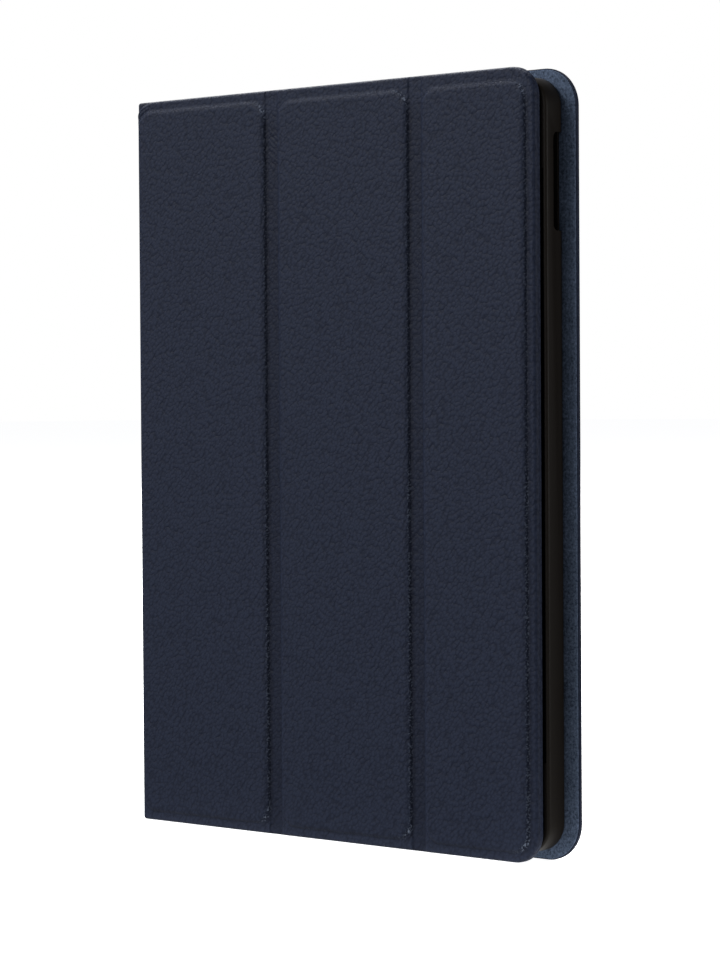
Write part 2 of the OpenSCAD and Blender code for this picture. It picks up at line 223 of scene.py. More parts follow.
panel_ends = {
    n: [round(p.x, 6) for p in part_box(f"panel_{n}_leather")] for n in (1, 2, 3)
}
fold_middles = [round(sum(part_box(f"fold_{n}_leather"), Vector()).x / 2, 6) for n in (1, 2)]
pad_ends = {
    1: (pad_1_left, panel_ends[1][1] - pad_border_fold),
    2: (panel_ends[2][0] + pad_border_fold, panel_ends[2][1] - pad_border_fold),
    3: (panel_ends[3][0] + pad_border_fold, panel_ends[3][1] - pad_border_free),
}


def block(name, low, high):
    """A cube primitive with these lowest and highest corners."""
    bpy.ops.object.select_all(action="DESELECT")
    bpy.ops.mesh.primitive_cube_add(
        size=1,
        location=[(a + b) / 2 for a, b in zip(low, high)],
        scale=[b - a for a, b in zip(low, high)],
    )
    piece = bpy.context.object
    piece.name = piece.data.name = name
    bpy.ops.object.transform_apply(location=True, rotation=False, scale=True)
    return piece


def choose(piece):
    """Only this piece is selected, and is the active one."""
    bpy.ops.object.select_all(action="DESELECT")
    piece.select_set(True)
    bpy.context.view_layer.objects.active = piece


def edit(piece):
    """Only this piece is selected, and is in edit mode."""
    choose(piece)
    bpy.ops.object.mode_set(mode="EDIT")


def done():
    bpy.ops.object.mode_set(mode="OBJECT")


def pick(piece, kind, test):
    """Selects the edges or faces whose lowest and highest corners pass the test."""
    bpy.ops.mesh.select_mode(type=kind)
    bpy.ops.mesh.select_all(action="DESELECT")
    shape = bmesh.from_edit_mesh(piece.data)
    for part in shape.edges if kind == "EDGE" else shape.faces:
        corners = np.array([v.co for v in part.verts])
        if test(Vector(corners.min(0)), Vector(corners.max(0))):
            part.select_set(True)
    bmesh.update_edit_mesh(piece.data)


def cut_at(stops, normal):
    """Cuts all of the piece in edit mode at each of these places along the normal."""
    for stop in stops:
        bpy.ops.mesh.select_all(action="SELECT")
        bpy.ops.mesh.bisect(plane_co=[stop * n for n in normal], plane_no=normal)


def places(piece):
    """The piece's vertices as an array of x, y and z."""
    co = np.zeros(len(piece.data.vertices) * 3, np.float32)
    piece.data.vertices.foreach_get("co", co)
    return co.reshape(-1, 3).astype(float)


def put(piece, co):
    piece.data.vertices.foreach_set("co", co.astype(np.float32).ravel())
    piece.data.update()


def merge(piece, gap=0.01 * mm):
    """Merges corners that lie nearer to each other than gap."""
    edit(piece)
    bpy.ops.mesh.select_all(action="SELECT")
    bpy.ops.mesh.remove_doubles(threshold=gap)
    done()


def apply(piece, kind, **settings):
    """Adds a modifier with these settings and applies it."""
    modifier = piece.modifiers.new(kind, kind)
    for name, value in settings.items():
        setattr(modifier, name, value)
    choose(piece)
    bpy.ops.object.modifier_apply(modifier=modifier.name)


def smooth(piece, angle=50):
    choose(piece)
    bpy.ops.object.shade_smooth_by_angle(angle=math.radians(angle))


def spread(low, high, step):
    """Evenly spread places between low and high, both left out, at most step apart."""
    return np.linspace(low, high, max(2, math.ceil((high - low) / step) + 1))[1:-1]


def eased(share):
    """A smooth step from 0 to 1."""
    share = np.clip(share, 0, 1)
    return share * share * (3 - 2 * share)


def hump(offset, width):
    """A smooth hump, 1 where the offset is 0."""
    return np.exp(-((offset / width) ** 2))


# At the right corners of a pad the leather shows pale strain marks, partly real cracking and
# partly painted highlights. They are most this far round from level, in radians, and more at
# the lower corner. All down that side there are a few.
strain_glint_turn, strain_glint_spread = 0.55, 0.45
strain_glint_lower, strain_glint_side = 1.7, 0.2


def inside(x, z, panel):
    """How far a place on the front is inside the foot of the panel's pad, and how strongly the
    leather shows its pale strain marks and painted highlights there."""
    left, right = pad_ends[panel]
    bottom, top = pad_border, height - pad_border_top[panel]
    u = np.abs(x - (left + right) / 2) - ((right - left) / 2 - pad_r)
    v = np.abs(z - (bottom + top) / 2) - ((top - bottom) / 2 - pad_r)
    out = np.hypot(np.maximum(u, 0), np.maximum(v, 0)) + np.minimum(np.maximum(u, v), 0)
    turned = np.arctan2(np.maximum(v, 0), np.maximum(u, close))
    at_right = (x > (left + right) / 2) & (u > 0)
    strain_and_glint = hump(turned - strain_glint_turn, strain_glint_spread) * np.where(z < height / 2, strain_glint_lower, 1)
    return pad_r - out, np.where(at_right, np.maximum(strain_and_glint, strain_glint_side), 0)


def dip(x, z):
    """How far the leather lies under the border beside a fold and beside the last pad."""
    share = sum(1 - eased((np.abs(x - fold) - fold_flat) / fold_ease) for fold in fold_middles)
    past = x - pad_ends[3][1]
    trough = 1 - eased(np.maximum(past / free_out, -past / free_in))
    off_ends = eased((np.minimum(z, height - z) - end_plain) / end_fade)
    return fold_dip * share + free_dip * trough * off_ends


# Painted shade darkens the leather where it is creased down, hardest beside a pad's right side:
# this far past the pad's foot and up its side, and ending this sharply. The painted shade in the
# other creases is a share of that one.
crease_shade_out = {1: 1.8 * mm, 2: 1.8 * mm, 3: 1.55 * mm}
crease_shade_up = {1: 0.5 * mm, 2: 0.5 * mm, 3: 0.8 * mm}
crease_shade_power = {1: 4, 2: 4, 3: 2}
foot_shade, foot_in, foot_width = 0.4, 0.2 * mm, 0.7 * mm  # a line along a pad's lower end
fold_shade, tuck_shade = 0.5, 0.45  # across a fold, and round the gathered corner


def painted_crease_shade(x, z):
    """How much painted shade darkens the leather where it is creased down at a place, 0 to 1."""
    off_top = eased((height - z - end_plain) / end_fade)
    share = 0
    for panel, (left, right) in pad_ends.items():
        past = -inside(x, z, panel)[0]
        on_right = eased((x - right + pad_r) / pad_r) * off_top
        below = eased((pad_border + pad_r - z) / pad_r)
        reach = np.where(past > 0, crease_shade_out[panel], crease_shade_up[panel])
        crease_shade = np.exp(-(np.abs(past / reach) ** crease_shade_power[panel]))
        foot = foot_shade * hump(past + foot_in, foot_width)
        share = np.maximum(share, np.maximum(crease_shade * on_right, foot * below))
        if panel < 3:
            in_fold = (x > right) & (x < pad_ends[panel + 1][0])
            share = np.maximum(share, np.where(in_fold, fold_shade, 0) * off_top)
    return np.maximum(share, tuck_shade * corner_tuck(x, z)[1])


# Round the first pad's upper left corner the leather is gathered in two ridges, and tucked
# down outside them. They are clearest this far round from level, in radians.
tuck_turn, tuck_spread = 0.9, 0.45
ridge_places, ridge_width, ridge_rise = (1.0 * mm, 2.0 * mm), 0.32 * mm, 0.32 * mm
tuck_out, tuck_ease, tuck_depth = 2.3 * mm, 0.5 * mm, 0.25 * mm


def corner_tuck(x, z):
    """How far up its ridges the leather is at a place, and how far it is tucked down, 0 to 1."""
    left, top = pad_ends[1][0], height - pad_border_top[1]
    u, v = left + pad_r - x, z - top + pad_r
    past = np.hypot(u, v) - pad_r
    cornered = (u > 0) & (v > 0)
    angle = np.arctan2(v, np.maximum(u, close))
    sector = np.where(cornered, hump(angle - tuck_turn, tuck_spread), 0)
    ridges = sum(hump(past - ridge, ridge_width) for ridge in ridge_places)
    return sector * ridges, np.where(cornered, eased((past - tuck_out) / tuck_ease), 0)


# Leather glued over an insert lies slightly unevenly, in slow waves with quick ones on them.
# These are how many there are in a metre, across and up.
slow_waves, quick_waves = (28, 17), (90, 70)


def waviness(x, z):
    """How high the waves are at a place, from -1 to 1."""
    return np.array([
        noise.noise(Vector((a * slow_waves[0], 0.3, b * slow_waves[1]))) * 0.7
        + noise.noise(Vector((a * quick_waves[0], 4.1, b * quick_waves[1]))) * 0.3
        for a, b in zip(x, z)
    ])


# A pad's side rises steeply and turns into its top, more softly on the right. Just above the
# pad's foot the leather shows its pale strain marks and painted highlights, and it lies a little
# unevenly on its top.
pad_steep, pad_softer = 5.5, 2.8
strain_glint_in, strain_glint_width = 0.35 * mm, 0.6 * mm
wave_depth = 0.03 * mm


def lift(x, z, panel):
    """How far the leather stands over the border at a place, and how strongly it shows its pale
    strain marks and painted highlights.
    """
    depth, corner = inside(x, z, panel)
    near_foot = np.clip(depth + pad_fillet, 0, 2 * pad_fillet) ** 2 / (4 * pad_fillet)
    share = np.clip(np.where(depth > pad_fillet, depth, near_foot) / pad_slope, 0, 1)
    on_right = eased((x - pad_ends[panel][1] + pad_r) / pad_r)
    raised = 1 - (1 - share) ** (pad_steep - pad_softer * on_right)
    wavy = (waviness(x, z) - 1) * wave_depth * raised
    ridges, tuck = corner_tuck(x, z)
    gathered = ridge_rise * ridges - tuck_depth * tuck
    strain_and_glint = hump(depth - strain_glint_in, strain_glint_width) * corner
    return pad_rise * raised + wavy - dip(x, z) + gathered, strain_and_glint


# Near the first fold's upper end its leather is drawn into faint pleats.
pleat_right, pleat_half, pleat_ease = 0.5 * mm, 1.8 * mm, 1.2 * mm
pleat_down, pleat_run = 19 * mm, 10 * mm


def pleated(x, z):
    """How deep the pleats are at a place, 0 to 1."""
    off_middle = np.abs(x - fold_middles[0] - pleat_right)
    across = 1 - eased((off_middle - pleat_half) / pleat_ease)
    return across * hump(z - height + pleat_down, pleat_run)


# The mesh is fine where the leather curves, near the ends of a panel, and coarse between.
fine, coarse = 0.3 * mm, 2.5 * mm
end_zone, free_zone = 10 * mm, 12 * mm
z_stops = np.concatenate([
    spread(edge_r, end_zone, fine), spread(end_zone, height - end_zone, coarse),
    [end_zone, height - end_zone], spread(height - end_zone, height - edge_r, fine),
])


def mark(piece, name, values):
    """Keeps a value for each vertex, for the material to read."""
    attribute = piece.data.attributes.new(name, "FLOAT", "POINT")
    attribute.data.foreach_set("value", np.asarray(values, np.float32))


# Along the free edge the layers of turned leather show as fine lines, this far from its
# front. The edge is cut at each line and on either side of it.
edge_lines = (0.95 * mm, 1.98 * mm)
line_depth, line_width = 0.06 * mm, 0.14 * mm
free_stops = np.array([0.65, 0.8, 0.95, 1.1, 1.3, 1.6, 1.85, 1.98, 2.1, 2.3]) * mm


def round_free_edge(x, y, z, right):
    """Rounds the free edge more than the top and the bottom are, and draws its lines."""
    u = x - (right - front_r)
    v = np.abs(z - height / 2) - (height / 2 - front_r)
    in_corner = (u > 0) & (v > 0)
    span = np.maximum(np.hypot(u, v), close)
    out_x = np.where(in_corner, u / span, (v <= 0) & (u > 0))
    out_z = np.where(in_corner, v / span, 0) * np.sign(z - height / 2)
    near = np.where(in_corner, front_r - span, right - x)
    deep = y - border_y
    r = edge_r + (free_r - edge_r) * out_x
    rounded = (out_x > 0) & (near < r) & (deep < r)
    reach = np.maximum(np.hypot(near - r, deep - r), close)
    pull = np.where(rounded, near - r - r * (near - r) / reach, 0)
    y[rounded] = (border_y + r + r * (deep - r) / reach)[rounded]
    deep = y - border_y
    for line in edge_lines:
        pull -= line_depth * hump(deep - line, line_width) * (near < r)
    x += pull * out_x
    z += pull * out_z


panels = {}
for n, (left, right) in panel_ends.items():
    free = n == 3
    panel = block(f"panel_{n}_skin", (left, border_y, 0), (right, panel_back_y, height))
    edit(panel)
    if free:
        pick(panel, "EDGE", lambda a, b: a.x > right - close and b.z - a.z < close)
        bpy.ops.mesh.bevel(offset=front_r, segments=16, affect="EDGES")
    pick(panel, "EDGE", lambda a, b: b.y < border_y + close
         and (b.x - a.x > close or free and a.x > left + close))
    bpy.ops.mesh.bevel(offset=edge_r, segments=edge_steps, affect="EDGES")
    pick(panel, "FACE", lambda a, b: a.y > panel_back_y - close or b.x < left + close
         or not free and a.x > right - close)
    bpy.ops.mesh.delete(type="FACE")
    cut_at(z_stops, (0, 0, 1))
    right_zone = right - (free_zone if free else end_zone)
    cut_at(np.concatenate([
        spread(left, left + end_zone, fine), spread(left + end_zone, right_zone, coarse),
        [left + end_zone, right_zone], spread(right_zone, right - (edge_r if free else 0), fine),
    ]), (1, 0, 0))
    if free:
        cut_at(border_y + free_stops, (0, 1, 0))
    done()
    co = places(panel)
    x, y, z = co.T
    near_fold = np.minimum(x - left, np.inf if free else right - x)
    down = np.clip(1 - near_fold / board_back, 0, 1)
    y[:] = np.minimum(y, panel_back_y - down * (panel_back_y - border_y - skin_t))
    y -= lift(x, z, n)[0] * np.clip(1 - (y - border_y) / skin_t, 0, 1)
    if free:
        round_free_edge(x, y, z, right)
    put(panel, np.stack([x, y, z], 1))
    merge(panel)
    co = places(panel)
    x, y, z = co.T
    front = y < border_y + front_deep
    # pale strain marks with painted highlights at the pad's corners, and painted shade in its
    # creases, kept for the material
    mark(panel, "corner", np.where(front, lift(x, z, n)[1], 0))
    mark(panel, "painted_crease_shade", np.where(front, painted_crease_shade(x, z), 0))
    mark(panel, "pleated", np.where(front, pleated(x, z), 0))
    apply(panel, "SOLIDIFY", thickness=turned_t, offset=-1)
    smooth(panel)
    panels[n] = panel
    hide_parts(f"panel_{n}_leather")
    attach(panel, f"panel_{n}")

# The leather is calf, milled so that its grain rises in soft pebbles about a millimetre wide
# that run aslant, and dyed through: navy and nearly matt. Where it is creased down it is painted
# nearly black as painted shade, and where a corner strains it, short pale marks are partly real
# cracking and partly painted highlights. The bump is the pebbles' domes, with the pores, which
# are drawn about three times their real size so that they show.
pebble, pore = 1.08 * mm, 0.3846 * mm
drift_size = 2.381 * mm  # the pebbles' rows wander, over about two pebbles
pleat_spacing = 1.1636 * mm
crack_glint_size = 0.5882 * mm
leather, tree = new_material("milled_navy_calf_leather")
spot = add_node(tree, "ShaderNodeTexCoord").outputs["Object"]
aslant = add_node(
    tree, "ShaderNodeMapping",
    {"Vector": spot, "Rotation": (0, math.radians(-50), 0), "Scale": (1.3, 1, 1)},
    vector_type="TEXTURE",
).outputs[0]
drift = add_node(
    tree, "ShaderNodeTexNoise", {"Vector": aslant, "Scale": 1 / drift_size, "Detail": 2}
)
warp = add_node(
    tree, "ShaderNodeVectorMath", {0: drift.outputs["Color"], 1: (0.5, 0.5, 0.5)},
    operation="SUBTRACT",
)
shift = add_node(
    tree, "ShaderNodeVectorMath", {0: warp.outputs[0], "Scale": 1.4 * mm}, operation="SCALE"
)
bent = add_node(tree, "ShaderNodeVectorMath", {0: aslant, 1: shift.outputs[0]})
pebbles = add_node(
    tree, "ShaderNodeTexVoronoi",
    {"Vector": bent.outputs[0], "Scale": 1 / pebble, "Randomness": 1, "Smoothness": 0.1},
    feature="SMOOTH_F1",
).outputs["Distance"]
domes = add_node(
    tree, "ShaderNodeMath", {0: pebbles, 1: pebbles}, operation="MULTIPLY"
).outputs[0]
pores = add_node(
    tree, "ShaderNodeTexNoise", {"Vector": spot, "Scale": 1 / pore, "Detail": 2}
).outputs["Fac"]
grain = add_node(
    tree, "ShaderNodeMath", {0: pores, 1: 0.1, 2: domes}, operation="MULTIPLY_ADD"
).outputs[0]
drawn = add_node(tree, "ShaderNodeAttribute", attribute_name="pleated").outputs["Fac"]
# at a scale of 1 the waves are pi / 10 apart
pleat_scale = math.pi / 10 / pleat_spacing
waves = add_node(
    tree, "ShaderNodeTexWave",
    {"Vector": aslant, "Scale": pleat_scale, "Distortion": 5, "Detail": 2},
).outputs["Fac"]
folded = add_node(tree, "ShaderNodeMath", {0: waves, 1: drawn}, operation="MULTIPLY").outputs[0]
relief = add_node(
    tree, "ShaderNodeMath", {0: folded, 1: 0.4, 2: grain}, operation="MULTIPLY_ADD"
).outputs[0]
grain_bump = add_node(
    tree, "ShaderNodeBump", {"Strength": 0.8, "Distance": 0.22 * mm, "Height": relief}, invert=True
).outputs[0]
valley = add_node(
    tree, "ShaderNodeMapRange", {"Value": pebbles, "From Min": 0.25, "From Max": 0.75}
).outputs[0]
dyed = add_node(
    tree, "ShaderNodeMix", {"Factor": valley, 6: linear("#262D40"), 7: linear("#1C2233")},
    data_type="RGBA",
).outputs[2]
# painted shade: towards near black where the leather is creased down, for the shade in its creases
# and folds
crease_shade_share = add_node(tree, "ShaderNodeAttribute", attribute_name="painted_crease_shade").outputs["Fac"]
crease_shade_strength = add_node(tree, "ShaderNodeMath", {0: crease_shade_share, 1: 0.75}, operation="MULTIPLY").outputs[0]
crease_shaded = add_node(
    tree, "ShaderNodeMix", {"Factor": crease_shade_strength, 6: dyed, 7: linear("#060C1D")}, data_type="RGBA"
).outputs[2]
# pale marks at strained corners, partly real cracking and partly painted highlights where creases
# would catch the light
strain_glint = add_node(tree, "ShaderNodeAttribute", attribute_name="corner").outputs["Fac"]
crack_glint_noise = add_node(
    tree, "ShaderNodeTexNoise",
    {"Vector": bent.outputs[0], "Scale": 1 / crack_glint_size, "Detail": 1},
).outputs["Fac"]
crack_glint = add_node(
    tree, "ShaderNodeMapRange", {"Value": crack_glint_noise, "From Min": 0.5, "From Max": 0.65}
).outputs[0]
pale_glint = add_node(tree, "ShaderNodeMath", {0: crack_glint, 1: strain_glint}, operation="MULTIPLY").outputs[0]
marked_and_glinting = add_node(
    tree, "ShaderNodeMix", {"Factor": pale_glint, 6: crease_shaded, 7: linear("#6C7688")}, data_type="RGBA"
).outputs[2]
leather_shader = add_node(
    tree, "ShaderNodeBsdfPrincipled",
    {"Base Color": marked_and_glinting, "Roughness": 0.6, "Specular IOR Level": 0.16, "Normal": grain_bump},
)
add_node(tree, "ShaderNodeOutputMaterial", {"Surface": leather_shader.outputs[0]})
for panel in panels.values():
    panel.data.materials.append(leather)


# ---- Folds ----
# Between two panels there is no board and no insert. The leather there is glued only to
# the lining and lies a little lower. On the case it bends like a hinge; here each strip is
# drawn flat and moves with neither panel.
def strip(name, left, right, front, back, bottom, top, rounding, stops):
    """A flexible strip with its top and bottom front edges rounded, cut where it bends."""
    piece = block(name, (left, front, bottom), (right, back, top))
    edit(piece)
    if rounding:
        pick(piece, "EDGE", lambda a, b: b.y < front + close and b.x - a.x > close)
        bpy.ops.mesh.bevel(offset=rounding, segments=edge_steps, affect="EDGES")
    cut_at(z_stops, (0, 0, 1))
    cut_at(stops, (1, 0, 0))
    done()
    return piece


fold_t = 1.6 * mm  # leather and lining together
fold_step = 0.32 * mm
for n in (1, 2):
    left, right = panel_ends[n][1], panel_ends[n + 1][0]
    stops = spread(left, right, fold_step)
    fold = strip(f"fold_{n}_skin", left, right, border_y, border_y + skin_t, 0, height, edge_r, stops)
    co = places(fold)
    co[:, 1] += dip(co[:, 0], co[:, 2]) * (1 - (co[:, 1] - border_y) / skin_t)
    put(fold, co)
    # painted shade across the fold, kept for the material
    mark(fold, "painted_crease_shade", painted_crease_shade(co[:, 0], co[:, 2]))
    mark(fold, "pleated", pleated(co[:, 0], co[:, 2]))
    smooth(fold)
    fold.data.materials.append(leather)
    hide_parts(f"fold_{n}_leather")
    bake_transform(fold)


# ---- Spine ----
# A narrow board under the same leather keeps the spine flat. On either side of it the
# leather turns a soft corner, which on the case bends when the cover is opened; here each turn
# is drawn in one fixed bend.
spine_x = round(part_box("spine_leather")[0].x, 6)
spine_back_x = round(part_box("spine_leather")[1].x, 6)
spine_ends = [round(p.y, 6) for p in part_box("spine_leather")]
back_y = round(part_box("back_leather")[1].y, 6)
turn_r = 2.4 * mm
leg = 1.0 * mm  # the straight stretch at either end of a turn
turn_run = 2 * leg + turn_r * math.pi / 2
spine_step = 0.4 * mm
first_step, bend_step, last_step = 0.34 * mm, 0.25 * mm, 0.3 * mm
# side, which way it turns, and the bodies that it joins
turns = (("front", 1, ("spine", "panel_1")), ("back", -1, ("back", "spine")))

spine = block("spine_skin", (spine_x, spine_ends[0], 0), (spine_back_x, spine_ends[1], height))
edit(spine)
pick(spine, "EDGE", lambda a, b: b.x < spine_x + close and b.y - a.y > close)
bpy.ops.mesh.bevel(offset=edge_r, segments=edge_steps, affect="EDGES")
pick(spine, "FACE", lambda a, b: a.x > spine_back_x - close
     or b.y < spine_ends[0] + close or a.y > spine_ends[1] - close)
bpy.ops.mesh.delete(type="FACE")
cut_at(z_stops, (0, 0, 1))
cut_at(spread(*spine_ends, spine_step), (0, 1, 0))
done()
co = places(spine)
x, y, z = co.T
near_turn = np.minimum(y - spine_ends[0], spine_ends[1] - y)
down = np.clip(1 - near_turn / board_back, 0, 1)
hidden = x > spine_back_x - close
x[hidden] -= down[hidden] * (spine_back_x - spine_x - skin_t)
put(spine, co)
apply(spine, "SOLIDIFY", thickness=turned_t, offset=-1)
smooth(spine)
spine.data.materials.append(leather)
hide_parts("spine_leather")
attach(spine, "spine")


def turned_corner(piece, way):
    """Bends a flat strip round the spine's front corner (way 1) or rear corner (way -1)."""
    co = places(piece)
    run, deep = co[:, 0], co[:, 1]
    angle = np.clip((run - leg) / turn_r, 0, math.pi / 2)
    r = turn_r - deep
    # measured from the outer corner where the two legs' faces would meet
    u = turn_r - r * np.cos(angle) + np.maximum(run - leg - turn_r * math.pi / 2, 0)
    v = turn_r - r * np.sin(angle) + np.maximum(leg - run, 0)
    outer_y = border_y if way > 0 else back_y
    co[:, 0] = spine_x + u
    co[:, 1] = outer_y + way * v
    put(piece, co)
    if way < 0:  # this bend turns its faces inside out
        edit(piece)
        bpy.ops.mesh.select_all(action="SELECT")
        bpy.ops.mesh.flip_normals()
        done()


turn_stops = np.concatenate([
    spread(0, leg, first_step), [leg], spread(leg, turn_run - leg, bend_step),
    [turn_run - leg], spread(turn_run - leg, turn_run, last_step),
])
for side, way, bodies in turns:
    turn = strip(f"spine_{side}_turn_skin", 0, turn_run, 0, skin_t, 0, height, edge_r, turn_stops)
    outer = 1 - places(turn)[:, 1] / skin_t  # 1 at its outer face, 0 at its inner
    turned_corner(turn, way)
    if way > 0:
        co = places(turn)
        rise, strain_glint = lift(co[:, 0], co[:, 2], 1)
        co[:, 1] -= rise * outer
        put(turn, co)
        # pale strain marks with painted highlights, and painted shade in creases, on the turn's outer
        # face
        mark(turn, "corner", strain_glint * outer)
        mark(turn, "painted_crease_shade", painted_crease_shade(co[:, 0], co[:, 2]) * outer)
    smooth(turn)
    turn.data.materials.append(leather)
    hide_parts(f"spine_{side}_turn_leather")
    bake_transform(turn)


# ---- Back cover ----
# One large board covered with the same leather, its edges a little rounder than the
# front's, with a window punched through near its upper corner for the tablet's camera.
back_left, back_right = (round(p.x, 6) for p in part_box("back_leather"))
back_front_y = round(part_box("back_leather")[0].y, 6)
back_r = 12.8 * mm
back_edge_r = 1.3 * mm
window_r, window_edge_r = 5.6 * mm, 0.4 * mm
window_x, window_z = 73.6 * mm, 241.1 * mm
flat_step = 6 * mm
ramp_zone, ramp_step = 3 * mm, 0.5 * mm  # beside the spine it slopes to the bare leather

back = block("back_skin", (back_left, back_front_y, 0), (back_right, back_y, height))
edit(back)
pick(back, "EDGE", lambda a, b: a.x > back_right - close and b.z - a.z < close)
bpy.ops.mesh.bevel(offset=back_r, segments=20, affect="EDGES")
pick(back, "EDGE", lambda a, b: a.y > back_y - close and b.x > back_left + close)
bpy.ops.mesh.bevel(offset=back_edge_r, segments=edge_steps, affect="EDGES")
done()


def windowed(piece, r):
    """Punches the camera's round window through the piece."""
    bpy.ops.object.select_all(action="DESELECT")
    bpy.ops.mesh.primitive_cylinder_add(
        vertices=64, radius=r, depth=20 * mm, location=(window_x, back_y, window_z),
        rotation=(math.radians(90), 0, 0),
    )
    punch = bpy.context.object
    apply(piece, "BOOLEAN", operation="DIFFERENCE", object=punch, solver="EXACT")
    bpy.data.objects.remove(punch)


windowed(back, window_r)
edit(back)
window = Vector((window_x, back_y, window_z))
pick(back, "EDGE", lambda a, b: a.y > back_y - close
     and abs(((a + b) / 2 - window).length - window_r) < 0.05 * mm)
bpy.ops.mesh.bevel(offset=window_edge_r, segments=3, affect="EDGES")
pick(back, "FACE", lambda a, b: b.y < back_front_y + close or b.x < back_left + close)
bpy.ops.mesh.delete(type="FACE")
cut_at(spread(back_edge_r, height - back_edge_r, flat_step), (0, 0, 1))
cut_at(np.concatenate([
    spread(back_left, back_left + ramp_zone, ramp_step),
    spread(back_left + ramp_zone, back_right - back_edge_r, flat_step),
]), (1, 0, 0))
done()
co = places(back)
x, y, z = co.T
down = np.clip(1 - (x - back_left) / board_back, 0, 1)
hidden = y < back_front_y + close
y[hidden] += down[hidden] * (back_y - back_front_y - skin_t)
put(back, co)
merge(back)
apply(back, "SOLIDIFY", thickness=turned_t, offset=-1)
# the wall's corners beside the spine come out on the wrong side, and are mirrored inwards
co = places(back)
co[:, 0] = np.maximum(co[:, 0], back_left)
co[:, 2] = height - np.abs(height - np.abs(co[:, 2]))
put(back, co)
smooth(back)
back.data.materials.append(leather)
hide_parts("back_leather")
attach(back, "back")


# ---- Linings ----
# Brushed microfibre, half a millimetre thick, glued over each board and over the bare
# leather at the folds. It stops a little short of the covers' edges.
lining_in = 0.4 * mm
lining_t = 0.5 * mm
lining_low, lining_high = lining_in, height - lining_in
drop_start = board_back + 0.2 * mm  # from here on it drops to the bare leather at a fold
lining_ramp = 1.4 * mm
lining_edge_r = 0.18 * mm
lining_fine, lining_coarse = 0.2 * mm, 5 * mm  # how finely it is cut there, and elsewhere


def dropped(away, drop):
    """How far a lining drops from its board to the bare leather, this far from the fold."""
    return drop * eased(1 - away / drop_start)


def edge_softened(piece, test):
    """Rounds the rim of a lining a little, where it was cut."""
    edit(piece)
    pick(piece, "EDGE", test)
    bpy.ops.mesh.bevel(offset=lining_edge_r, segments=2, affect="EDGES")
    done()


# Brushed polyester microfibre: matt, with a mottled nap that catches light at its edges and
# lies in patches where it was brushed. Its fibres are far too fine to show, so they are
# drawn at a quarter of a millimetre and the nap about a millimetre coarse.
nap_size, fibre_size, patch_size = 0.9091 * mm, 0.25 * mm, 8.333 * mm
microfibre, tree = new_material("brushed_navy_microfibre")
spot = add_node(tree, "ShaderNodeTexCoord").outputs["Object"]
nap = add_node(
    tree, "ShaderNodeTexNoise",
    {"Vector": spot, "Scale": 1 / nap_size, "Detail": 4, "Roughness": 0.7},
)
fibres = add_node(
    tree, "ShaderNodeTexNoise", {"Vector": spot, "Scale": 1 / fibre_size, "Detail": 2}
)
brushed = add_node(
    tree, "ShaderNodeTexNoise", {"Vector": spot, "Scale": 1 / patch_size, "Detail": 2}
)
both = add_node(
    tree, "ShaderNodeMath", {0: brushed.outputs["Fac"], 1: 0.15, 2: nap.outputs["Fac"]},
    operation="MULTIPLY_ADD",
)
tone = add_node(
    tree, "ShaderNodeMapRange", {"Value": both.outputs[0], "From Min": 0.4, "From Max": 0.8}
)
lining_tone = add_node(
    tree, "ShaderNodeMix",
    {"Factor": tone.outputs[0], 6: linear("#2E3744"), 7: linear("#6A7992")}, data_type="RGBA",
)
fuzz = add_node(
    tree, "ShaderNodeMath", {0: fibres.outputs["Fac"], 1: 0.5, 2: nap.outputs["Fac"]},
    operation="MULTIPLY_ADD",
)
fuzz_bump = add_node(
    tree, "ShaderNodeBump", {"Strength": 0.7, "Distance": 0.12 * mm, "Height": fuzz.outputs[0]}
)
lining_shader = add_node(
    tree, "ShaderNodeBsdfPrincipled",
    {
        "Base Color": lining_tone.outputs[2], "Roughness": 0.95, "Specular IOR Level": 0.05,
        "Sheen Weight": 0.35, "Sheen Roughness": 0.5, "Sheen Tint": linear("#8FA3C4"),
        "Normal": fuzz_bump.outputs[0],
    },
)
add_node(tree, "ShaderNodeOutputMaterial", {"Surface": lining_shader.outputs[0]})


def finish_lining(piece, node):
    smooth(piece, 40)
    piece.data.materials.append(microfibre)
    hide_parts(node)


front_lining_y = round(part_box("panel_1_lining")[1].y, 6)
linings, lining_strips = {}, {}
for n, (left, right) in panel_ends.items():
    free = n == 3
    end = right - lining_in if free else right
    lining = block(
        f"panel_{n}_microfibre",
        (left, front_lining_y - lining_t, lining_low), (end, front_lining_y, lining_high),
    )
    edit(lining)
    if free:
        pick(lining, "EDGE", lambda a, b: a.x > end - close and b.z - a.z < close)
        bpy.ops.mesh.bevel(offset=front_r - lining_in, segments=16, affect="EDGES")
    done()
    edge_softened(lining, lambda a, b: a.y > front_lining_y - close
                  and (b.x - a.x > close or free and a.x > left + close))
    edit(lining)
    cut_at(spread(left, left + lining_ramp, lining_fine), (1, 0, 0))
    if not free:
        cut_at(spread(end - lining_ramp, end, lining_fine), (1, 0, 0))
    cut_at(spread(lining_low, lining_high, lining_coarse), (0, 0, 1))
    done()
    co = places(lining)
    away = np.minimum(co[:, 0] - left, np.inf if free else end - co[:, 0])
    co[:, 1] -= dropped(away, panel_back_y - border_y - skin_t)
    put(lining, co)
    finish_lining(lining, f"panel_{n}_lining")
    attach(lining, f"panel_{n}")
    linings[n] = (lining, end - left)

for n in (1, 2):
    left, right = panel_ends[n][1], panel_ends[n + 1][0]
    lining = strip(
        f"fold_{n}_microfibre", left, right, border_y + skin_t, border_y + fold_t,
        lining_low, lining_high, 0, spread(left, right, fold_step),
    )
    finish_lining(lining, f"fold_{n}_lining")
    lining_strips[f"fold_{n}"] = lining
    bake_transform(lining)

